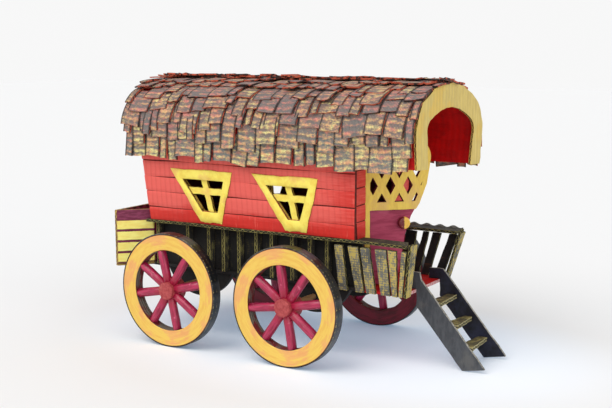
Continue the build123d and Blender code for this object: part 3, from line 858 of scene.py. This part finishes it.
def doorCuts(z, left, right):
    # beside the doorway, whose free side follows the door's edge
    high = z > door["top"]
    heights, widths = np.array(door["flare"]).T
    edge = door["hinge"] + np.interp(z - door["foot"], heights, widths) + door["gap"]
    nearEnd = np.where(high, right, door["hinge"] - 0.5)
    return [(left, np.minimum(nearEnd, right)), (np.where(high, right - 0.2, edge), right)]


for name, way, cuts in (("rear", -1, lambda z, left, right: [(left, right)]), ("front", 1, doorCuts)):
    makePiece("planks_" + name, "planks_red", endPlanks(name + "_wall", way, cuts), (planks, seams))

print("wheels")
wheel = {"tyre": 60.0, "tyreThick": 1.2, "hole": 42.5, "face": 100.5, "thick": 12.4, "centreZ": 60.0,
         "spoke": 4.8, "hub": 12.4, "capProud": 3.0, "setBack": 0.4, "innerProud": 4.0, "count": 8,
         "capRadii": (0, 0.6, 1.6, 2.5, 3.4, 4.3, 5.2, 6.1, 7.0, 7.9, 8.6, 9.0, 9.0, 9.0),
         "hubRadii": (12.4, 12.9, 12.9, 12.4, 4.0, 0.0), "seed": 3}


def ring(centre, profile, count, shake, rng, finish=0):
    # the profile (radius, y) is carried round the axle; shake moves the radius by slow waves of the turn
    turn = turns(count)
    slow = sum(rng.uniform(-1, 1) * np.sin(k * turn + rng.uniform(0, 6)) for k in (2, 3, 5, 8))
    radius = profile[:, 0] + shake * slow[:, None]
    c, s = np.cos(turn)[:, None], np.sin(turn)[:, None]
    points = stacked(centre[0] + radius * s, centre[1] + profile[:, 1], centre[2] + radius * c)
    return ringPart(points, stacked(radius, 40 * c, 40 * s), rng.random(1), finish=finish)


def wheelPieces(at, turned, side, rng):
    body = "wheel_" + at
    low, high = boxOf("tyre_" + at)
    centre = np.array([(low[0] + high[0]) / 2, side * wheel["face"], wheel["centreZ"]])
    t, outer = wheel["thick"], wheel["tyre"] - wheel["tyreThick"]
    way = -side  # from the outer face inwards

    # rim: outer face and skirt, then the hole's wall with its card layers as grooves
    hole = wheel["hole"]
    face = [(outer - 0.5, 0.0), (hole + 8, -0.1), (hole + 0.5, 0.0), (hole, 0.5)]
    layers = []
    for k in range(4):
        groove = ((0.1, 0.7), (-0.1, t / 8), (0.1, t / 4 - 0.3), (0.9, t / 4))
        layers += [(hole + r, t * k / 4 + y) for r, y in groove]
    layers = layers[:-1]
    back = [(hole, t - 0.5), (hole + 0.5, t), (hole + 8, t), (outer - 0.5, t), (outer, t - 0.4),
            (outer, 0.5)]
    profile = np.array(face + layers + back)
    shake = np.where(profile[:, 0] < hole + 3, 0.28, 0.0)
    finish = np.tile(np.repeat([0, 1, 2], [3, len(layers) + 1, len(back)]), 96)
    part = ring(centre, profile * (1, way), 96, shake, rng, finish)
    makePiece("rim_" + at + "_card", "wheel_yellow", [part], (rimPaint, rimInside, farRim), body=body)

    # tyre: a paper band, its edges chamfered a little, one more than the other
    r0, r1 = outer + 0.1, wheel["tyre"]
    band = np.array([(r0, 0.1), (r0, t - 0.1), (r1 - 0.3, t), (r1, t - 0.5), (r1, t / 2), (r1, 0.4),
                     (r1 - 0.3, 0.0)])
    part = ring(centre, band * (1, way), 128, np.zeros(len(band)), rng)
    makePiece("tyre_" + at + "_band", "tyre_black", [part], (tyrePaint,), body=body)

    # spokes: rolled paper tubes, whose radius steps down along the paper's free edge
    count = wheel["count"]
    angle = np.radians(turned + np.arange(count) * 360 / count + rng.uniform(-1.6, 1.6, count))
    share = np.array([0, 0, 0.02, 0.33, 0.66, 0.98, 1, 1])
    fill = np.array([0, 0.86, 1, 1, 1, 1, 0.86, 0])
    phi = turns(20)
    seam = rng.uniform(0, 6, count)
    roll = wheel["spoke"] - 0.45 * ((phi - seam[:, None]) % (2 * math.pi)) / (2 * math.pi)
    r = (wheel["hub"] - 4.5 + (hole - wheel["hub"] + 4.5 - 0.1) * share)[:, None]
    roll = roll[:, None]
    radius = roll * fill[:, None] * (1 - 0.02 * np.sin(share * 7))[:, None]
    out, across = [stacked(x, 0, z)[:, None, None] for x, z in
                   ((np.sin(angle), np.cos(angle)), (np.cos(angle), -np.sin(angle)))]
    c, s = np.cos(phi)[:, None], np.sin(phi)[:, None]
    start = centre + way * np.array([0, wheel["setBack"] + wheel["spoke"], 0])
    points = start + out * r[..., None] + radius[..., None] * (c * across + s * np.array([0, 1.0, 0]))
    sheet = stacked(r, roll * np.cos(phi), roll * np.sin(phi))
    part = ringPart(points, sheet, rng.random(count), wrapU=False)
    makePiece("spokes_" + at + "_tubes", "spoke_magenta", [part], (spokePaint,), body=body, smooth=50)

    # hub: a rolled disc, its end wound in a spiral that steps by the paper's thickness
    rr = np.array(wheel["capRadii"])
    turn = turns(48)[:, None]
    depth = np.zeros((48, len(rr)))
    depth[:, :11] = 0.45 * ((rr[:11] / 2.2 - turn / (2 * math.pi)) % 1)
    depth[:, 0] = 0.2
    ends = np.concatenate([np.zeros(10), [0.1, 0.5, 2.2, wheel["capProud"] + 4.0]])
    inner = t + wheel["innerProud"]
    tail = np.array([4.0, 4.4, inner - 0.8, inner - 0.2, inner - 0.2, inner - 0.2]) + wheel["setBack"] * 0.5
    y = np.concatenate([depth + ends - wheel["capProud"], np.tile(tail, (48, 1))], 1)
    r = np.concatenate([rr, wheel["hubRadii"]])
    c, s = np.cos(turn), np.sin(turn)
    points = stacked(centre[0] + r * s, centre[1] + way * y, centre[2] + r * c)
    part = ringPart(points, stacked(r, 9 * c, 9 * s), rng.random(1), wrapV=False)
    makePiece("hub_" + at + "_roll", "hub_brick", [part], (hubPaint,), body=body, smooth=30)


rng = np.random.default_rng(wheel["seed"])
for axle, turned in (("front", -9.0), ("rear", -12.0)):
    for side, name in ((-1, "near"), (1, "far")):
        wheelPieces(axle + "_" + name, turned, side, rng)

print("windows")
# heights up the wall; the bars stand back from its face
window = {"foot": 3.0, "top": 59.0, "deep": 3.4, "bar": 7.0, "barBack": 0.6, "barDeep": 3.0, "crossAt": 36.0,
          "cuts": 9, "seed": 21}


def ladder(rails, cuts):
    # a grid between two rails of as many points: u along them, v from one to the other
    rails = np.array(rails, float)
    knots = np.arange(rails.shape[1])
    t = np.linspace(0, knots[-1], knots[-1] * cuts + 1)
    return between(*[pointsAt(rail, knots, t) for rail in rails], np.array([0, 0.05, 0.5, 0.95, 1]))


def windowParts(side, frameTop, frameFoot, openTop, openFoot, rng):
    # a flat ring with four mitred sides, its section closed: face, inner reveal, back, outer edge
    t = np.arange(4 * window["cuts"]) / window["cuts"]
    low, high = wall["openFoot"], wall["openTop"]
    lines = []
    for foot, top, z0, z1 in ((frameFoot, frameTop, window["foot"], window["top"]),
                              (openFoot, openTop, low, high)):
        corners = np.array([(foot[0], z0), (foot[1], z0), (top[1], z1), (top[0], z1), (foot[0], z0)], float)
        lines.append(pointsAt(corners, range(5), t))
    rim, hole = lines
    wobble = 0.5 * np.sin(t * 9.1 + rng.uniform(0, 6)) + 0.35 * np.sin(t * 23 + rng.uniform(0, 6))
    away = rim - rim.mean(0)
    rim = rim + away / np.hypot(*away.T)[:, None] * wobble[:, None]
    # share of the way from rim to hole, and height out of the wall
    section = np.array([(0.0, -0.2), (0.0, 1.6), (0.08, 2.4), (0.5, 2.7), (0.92, 2.4), (1.0, 1.7),
                        (1.0, -window["deep"]), (0.88, -window["deep"]), (0.88, -0.2)])
    share, height = section.T
    flat = between(rim, hole, share)
    points = wallPoint(side, flat[..., 0] + shift, flat[..., 1], height)
    sheet = stacked(lineLength(rim)[:, None], flat[..., 1], height - 0.5)
    finish = np.tile([1, 0, 0, 0, 0, 2, 2, 2, 2], len(t))
    parts = [ringPart(points, sheet, rng.random(1), finish=finish)]
    # bars: a cross bar and an upright from the middle of the foot to the middle of the top
    half = window["bar"] / 2
    edge = lambda up, k: openFoot[k] + (openTop[k] - openFoot[k]) * ((up - low) / (high - low))
    cross = [[(edge(up, k), up) for k in range(2)]
             for up in (window["crossAt"] - half, window["crossAt"] + half)]
    upright = [[(sum(openFoot) / 2 + way, low), (sum(openTop) / 2 + way, high)] for way in (-half, half)]
    for k, rails in enumerate((cross, upright)):
        grid = ladder(rails, 8)
        grid = grid + 0.3 * np.sin(grid[..., ::-1] * 0.5 + k)
        back = window["barBack"] + 0.25 * k
        along, up = grid[..., 0], grid[..., 1]
        faces = [wallPoint(side, along + shift, up, h) for h in (-back, -back - window["barDeep"])]
        parts.append(slabPart(*faces, along, up, rng.random(1)))
    return parts


rng = np.random.default_rng(window["seed"])
for side, name in ((-1, "near"), (1, "far")):
    for place, *ends in windowTable:
        makePiece("window_" + place + "_" + name + "_frame", "window_yellow",
                  windowParts(side, *ends, rng), (windowPaint, windowEdge, lining), smooth=50)

print("porch and steps")
porch = {"floorTop": 75.0, "floorFront": 176.0, "halfWidth": 46.6, "rise": 47.0, "leanOut": 7.7, "card": 3.0,
         "ledgeTop": 125.0, "ledgeReach": 58.0, "ledgeBack": -133.0, "ledgeIn": 39.0, "slatOut": 3.2,
         "postFoot": 10.0, "postTop": 13.0, "postOut": 0.4, "postAhead": 3.4, "seed": 8}


def platePart(rails, origin, uWay, vWay, rng, cuts=6, wobble=0.25, thick=3.0):
    # a flat plate between two rails, drawn in the plane of two ways, its first face outwards
    grid = ladder(rails, cuts)
    grid = grid + wobble * np.sin(grid[..., ::-1] * 0.37 + rng.uniform(0, 6))
    uWay, vWay = np.array(uWay, float), np.array(vWay, float)
    out = np.cross(uWay, vWay)
    points = np.array(origin, float) + grid[..., :1] * uWay + grid[..., 1:] * vWay
    bow = 0.25 * np.sin(grid[..., :1] * 0.06 + rng.uniform(0, 6)) * out
    faces = points + bow, points - out * thick + bow
    return slabPart(*faces, grid[..., 0], grid[..., 1], rng.random(1), thick)


# a slat's ends at its top and at its foot, along x
nearSlatTable = ((104, 113, 105, 114), (119, 130, 124, 133), (133, 143, 136, 146), (149, 161, 152, 162),
                 (163, 172, 164, 169.5), (177.5, 182.5, 171, 175))
farSlatTable = ((104, 113, 105, 114), (127, 139, 124, 134), (146.5, 152.7, 136, 144.6),
                (157.6, 167, 147.5, 156.2), (176.4, 185, 162, 171.6))
# side, name, slats, the post's lean forwards, height of its top, where the ledge ends outside and inside
porchTable = ((-1, "near", nearSlatTable, 8.0, 125.0, 184.0, 176.0, slatPaint),
              (1, "far", farSlatTable, 13.0, 121.8, 191.0, 191.0, farSlats))
tilt = math.atan2(porch["leanOut"], porch["rise"])
slatLength = (porch["rise"] - 0.6) / math.cos(tilt)
slatOut, base = porch["halfWidth"] + porch["slatOut"], porch["floorTop"] - porch["card"]
rng = np.random.default_rng(porch["seed"])
for side, name, table, lean, postTop, outEnd, inEnd, slatFace in porchTable:
    up = np.array([0, side * math.sin(tilt), math.cos(tilt)])
    parts = []
    for top0, top1, foot0, foot1 in table:
        rails = [[(-side * (foot + shift), 0), (-side * (top + shift), slatLength)]
                 for foot, top in ((foot0, top0), (foot1, top1))]
        parts.append(platePart(rails[::-side], (0, side * slatOut, base), (-side, 0, 0), up, rng, 5))
    makePiece("slats_" + name + "_cut", "body_black", parts, (slatFace, olive), bevel=0.3)
    # the post stands across the corner and leans forwards
    high = (postTop - base) / math.cos(math.atan2(lean, porch["rise"]))
    rise = np.array([lean, 0, porch["rise"]]) / math.hypot(lean, porch["rise"])
    y0 = slatOut + porch["postOut"]
    rails = [[(side * (y0 - foot), 0), (side * (y0 + porch["leanOut"] - top), high)]
             for foot, top in ((0, 0), (porch["postFoot"], porch["postTop"]))]
    origin = (porch["floorFront"] + porch["postAhead"] + shift, 0, base)
    post = platePart(rails[::side], origin, (0, 1, 0), rise, rng, 8)
    makePiece("post_" + name + "_cut", "body_black", [post], (slatPaint, olive), bevel=0.3)
    rails = [[(porch["ledgeBack"] + shift, side * reach), (end + shift, side * reach)]
             for reach, end in ((porch["ledgeIn"], inEnd), (porch["ledgeReach"], outEnd))]
    ledge = platePart(rails[::side], (0, 0, porch["ledgeTop"]), (1, 0, 0), (0, 1, 0), rng, 50, 0.35)
    makePiece("ledge_" + name + "_cut", "body_black", [ledge], (black, olive), bevel=0.3)

rails = [[(boxOf("floor")[0][0], y), (porch["floorFront"] + shift, y)]
         for y in (-porch["halfWidth"], porch["halfWidth"])]
deck = platePart(rails, (0, 0, porch["floorTop"]), (1, 0, 0), (0, 1, 0), rng, 40, 0.2)
makePiece("floor_cut", "floor_red", [deck], (floorPaint, floorPaint), bevel=0.3)

step = {"footX": 249.0, "footWidth": 23.2, "toeLift": 4.5, "headX": 176.2, "headWidth": 4.3, "headRise": 10.0,
        "heelDrop": 17.0, "tab": 12.0, "nearY": -21.0, "farY": 36.0, "drops": (12.5, 33.0, 52.0),
        "tilt": 3.0, "thick": 4.0, "proud": 2.0, "back": 4.5, "nearDepth": 16.0, "farDepth": 9.0}


def stringerPart(y, tabRise, rng):
    # rails from the foot to the tab that lies on the floor: heel side and front side
    floor, head = porch["floorTop"], step["headX"] + shift
    footX, tabX = step["footX"] + shift, porch["floorFront"] - step["tab"] + shift
    heel = [(footX - step["footWidth"], 0), (head, floor - step["heelDrop"]), (head, floor + 0.2),
            (tabX, floor + 0.2)]
    front = [(footX, step["toeLift"]), (head + step["headWidth"], floor + step["headRise"]),
             (head + 3, floor + tabRise), (tabX, floor + tabRise)]
    return platePart((heel, front), (0, y, 0), (1, 0, 0), (0, 0, 1), rng, 8, 0.2)


for name, y, tabRise, finishes in (("near", step["nearY"], 17.0, (stepPaint, stepEdge)),
                                   ("far", step["farY"] - 3, 11.0, (farStep, stepEdge))):
    makePiece("stringer_" + name + "_cut", "step_grey", [stringerPart(y, tabRise, rng)], finishes, bevel=0.3)

parts = []
stepRise = porch["floorTop"] + step["headRise"] - step["toeLift"]
slope = (step["footX"] - step["headX"] - step["headWidth"]) / stepRise
y0, y1 = step["nearY"] + 3.2, step["farY"] - 3.2
a = math.radians(-step["tilt"])
for drop in step["drops"]:
    top = porch["floorTop"] - drop
    frontX = step["footX"] - (top - step["toeLift"]) * slope + shift
    rails = [[(frontX + step["proud"] - near, y0), (frontX - step["back"] - far, y1)]
             for near, far in ((step["nearDepth"], step["farDepth"]), (0, 0))]
    origin = (0, 0, top - (y0 + y1) / 2 * math.tan(a))
    parts.append(platePart(rails, origin, (1, 0, 0), (0, math.cos(a), math.sin(a)), rng, 10, 0.4,
                           step["thick"]))
makePiece("treads_cut", "tread_olive", parts, (treadPaint, treadEdge), bevel=0.4)

print("card pieces")
# node, slot, face finish, edge finish
cardTable = [("door_lattice", "door_yellow", doorPaint, doorEdge),
             ("door_board", "door_magenta", panel, doorEdge),
             ("crate_back", "crate_magenta", cratePaint, crateEdge),
             ("crate_floor", "crate_magenta", cratePaint, crateEdge)]
for side in ("near", "far"):
    cardTable += [("ribs_" + side, "body_black", black, olive),
                  ("crate_side_" + side, "crate_magenta", cratePaint, crateEdge),
                  ("crate_boards_" + side, "crate_yellow", crateBoard, crateEdge)]
for k, (node, slot, face, edge) in enumerate(cardTable):
    cardPiece(node, slot, (face, edge), k, "door" if node.startswith("door") else "wagon")

# what stays as the CAD made it gets its finish
# the low wall and the brackets take black paint with painted shade
plain = {"side_wall": seams, "front_wall": seams, "rear_wall": seams, "low_wall": black_and_painted_shade, "bracket": black_and_painted_shade,
         "axle": stick}
for node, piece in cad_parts.items():
    for start, finish in plain.items():
        if node.startswith(start):
            piece.data.materials.clear()
            piece.data.materials.append(finish.material)

print("knob and strip")
# the knob's profile: radius, and height along its axis
knob = {"turn": 45.0, "profile": ((0, -2.5), (5.4, -2.5), (6.1, -1.8), (6.1, 1.4), (5.5, 2.2), (4.2, 2.5),
                                  (3.6, 2.2), (2.0, 2.35), (0, 2.25))}


def knobPart():
    # a rolled disc with rounded edges, square to the door as it stands ajar
    centre = sum(boxOf("door_knob")) / 2
    c, s = math.cos(math.radians(knob["turn"])), math.sin(math.radians(knob["turn"]))
    turn = turns(48)[:, None]
    r, h = np.array(knob["profile"]).T
    level, up = r * np.cos(turn), r * np.sin(turn)
    points = centre + stacked(h * c + level * s, level * c - h * s, up)
    return ringPart(points, stacked(level, up, h), np.array([0.5]), wrapV=False)


def knobPaintAndShade():
    # yellow on the free side, dark red towards the hinge: two-tone paint, and painted shade on the dark side
    f = Finish("knob", 0.35, 0.3)
    across = f.parts(f.sheet())[0]
    spot = f.noise(f.sheet(), (0.5, 0.5, 0.5), 3, 0.6)
    colour = f.mix(f.ease(across + spot * 2.4, 0.2, 1.6), (104, 8, 20), (236, 188, 72))
    f.colour(f.mix(f.ease(spot, 0.6, 0.7, 0.5), colour, (200, 120, 60)))
    f.relief(spot, 0.3)
    return f


makePiece("door_knob_roll", "knob_two_tone", [knobPart()], (knobPaintAndShade(),), body="door", smooth=30)

strip = {"length": 62.0, "thick": 1.2, "high": 1.7, "wave": 1.1, "pitch": 15.0, "inset": 1.2}


def railStrip(rng):
    # a paper strip with a wavy top stands along the far ledge's edge, at the porch end
    end, side, top = boxOf("ledge_far")[1]
    x = np.linspace(end - strip["length"], end - 0.5, 120)[:, None]
    v = np.linspace(0, 1, 4)
    high = (strip["high"] + strip["wave"] * np.sin((x - end) * 2 * math.pi / strip["pitch"])) * v
    faces = [stacked(x, side - strip["inset"] + out, top - 0.1 + high)
             for out in (strip["thick"] / 2, -strip["thick"] / 2)]
    return slabPart(*faces, x - x[0], high, rng.random(1), strip["thick"])


makePiece("rail_strip", "body_black", [railStrip(rng)], (stripGrey, stripGrey))

print("stage")
cameraView = {
    "target": (-5.5, 0.0, 146.35),  # mm
    "azimuth": 31.85,
    "elevation": 8.50,
    "roll": -0.23,
    "distance": 1150.8,
    "focal": 1092.7,  # in pixels of a picture 612 wide
}


def addCamera(view):
    a, e = math.radians(view["azimuth"]), math.radians(view["elevation"])
    back = Vector((math.sin(a) * math.cos(e), -math.cos(a) * math.cos(e), math.sin(e)))
    data = bpy.data.cameras.new("camera")
    data.sensor_width = 36.0
    data.lens = view["focal"] / 612 * 36.0
    data.clip_start, data.clip_end = 0.01, 100.0
    roll = Quaternion((0, 0, 1), math.radians(view["roll"]))
    camera = addObject("camera", data, (-back).to_track_quat("-Z", "Y") @ roll)
    camera.location = Vector(view["target"]) * 0.001 + back * view["distance"] * 0.001
    bpy.context.scene.camera = camera


lights = {"floor": (0.836, 0.822, 0.812), "backdrop": 0.935, "floorReach": 6.0, "sky": 0.70,
          "skyTint": (0.88, 0.94, 1.0), "tint": (1.0, 0.96, 0.91),
          # light off the floor: its colour, its middle and its reach in x and y in mm
          "shade": (0.12, 0.19, 0.28), "shadeAt": (30.0, 10.0), "shadeReach": (280.0, 180.0),
          # direction it comes from, strength, spread in degrees
          "key": ((-0.20, -0.60, 0.77), 1.65, 50.0), "fill": ((0.80, -0.50, 0.32), 0.9, 70.0)}


def addLights():
    for name in ("key", "fill"):
        source, power, spread = lights[name]
        data = bpy.data.lights.new(name, "SUN")
        data.energy, data.angle, data.color = power, math.radians(spread), lights["tint"]
        addObject(name, data, Vector(source).to_track_quat("Z", "Y"))
    world = bpy.data.worlds.new("room")
    bpy.context.scene.world = world
    world.use_nodes = True
    # the room lights the wagon with its sky, and shows white to the camera and in gloss
    room = Graph(world.node_tree)
    sky = room.tree.nodes["Background"]
    sky.inputs["Color"].default_value = lights["skyTint"] + (1,)
    sky.inputs["Strength"].default_value = lights["sky"]
    white = room.node("ShaderNodeBackground", None, {"Color": (lights["backdrop"],) * 3 + (1,)})
    seen, glossy = [room.node("ShaderNodeLightPath", out=ray) for ray in ("Is Camera Ray", "Is Glossy Ray")]
    values = {0: seen.most(glossy), 1: Wire(room, sky.outputs[0]), 2: white}
    room.set(room.tree.nodes["World Output"].inputs[0], room.node("ShaderNodeMixShader", None, values))


def addFloor():
    reach = lights["floorReach"]
    mesh = bpy.data.meshes.new("studio_floor")
    corners = [(x * reach, y * reach, 0) for x, y in ((-1, -1), (1, -1), (1, 1), (-1, 1))]
    mesh.from_pydata(corners, [], [(0, 1, 2, 3)])
    f = Finish("studio_floor", 1.0, 0.0, 0.0)
    f.colour(f.mix(f.noise(f.place(), (0.02, 0.02, 0.02)), lights["floor"] + (1,),
                   tuple(c + 0.004 for c in lights["floor"]) + (1,)))
    # a little blue light comes off the paper where the wagon shades it
    x, y = [(axis - middle) / wide for axis, middle, wide
            in zip(f.parts(f.place()), lights["shadeAt"], lights["shadeReach"])]
    glow = f.mix(f.ease(x * x + y * y, 0.0, 1.5), lights["shade"] + (1,), (0, 0, 0, 1))
    f.set(f.shader["Emission Color"], glow)
    f.shader["Emission Strength"].default_value = 1.0
    mesh.materials.append(f.material)
    addObject("studio_floor", mesh)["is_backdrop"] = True


addCamera(cameraView)
addLights()
addFloor()
bpy.context.scene.view_settings.view_transform = "Standard"
low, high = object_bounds()
list(low)
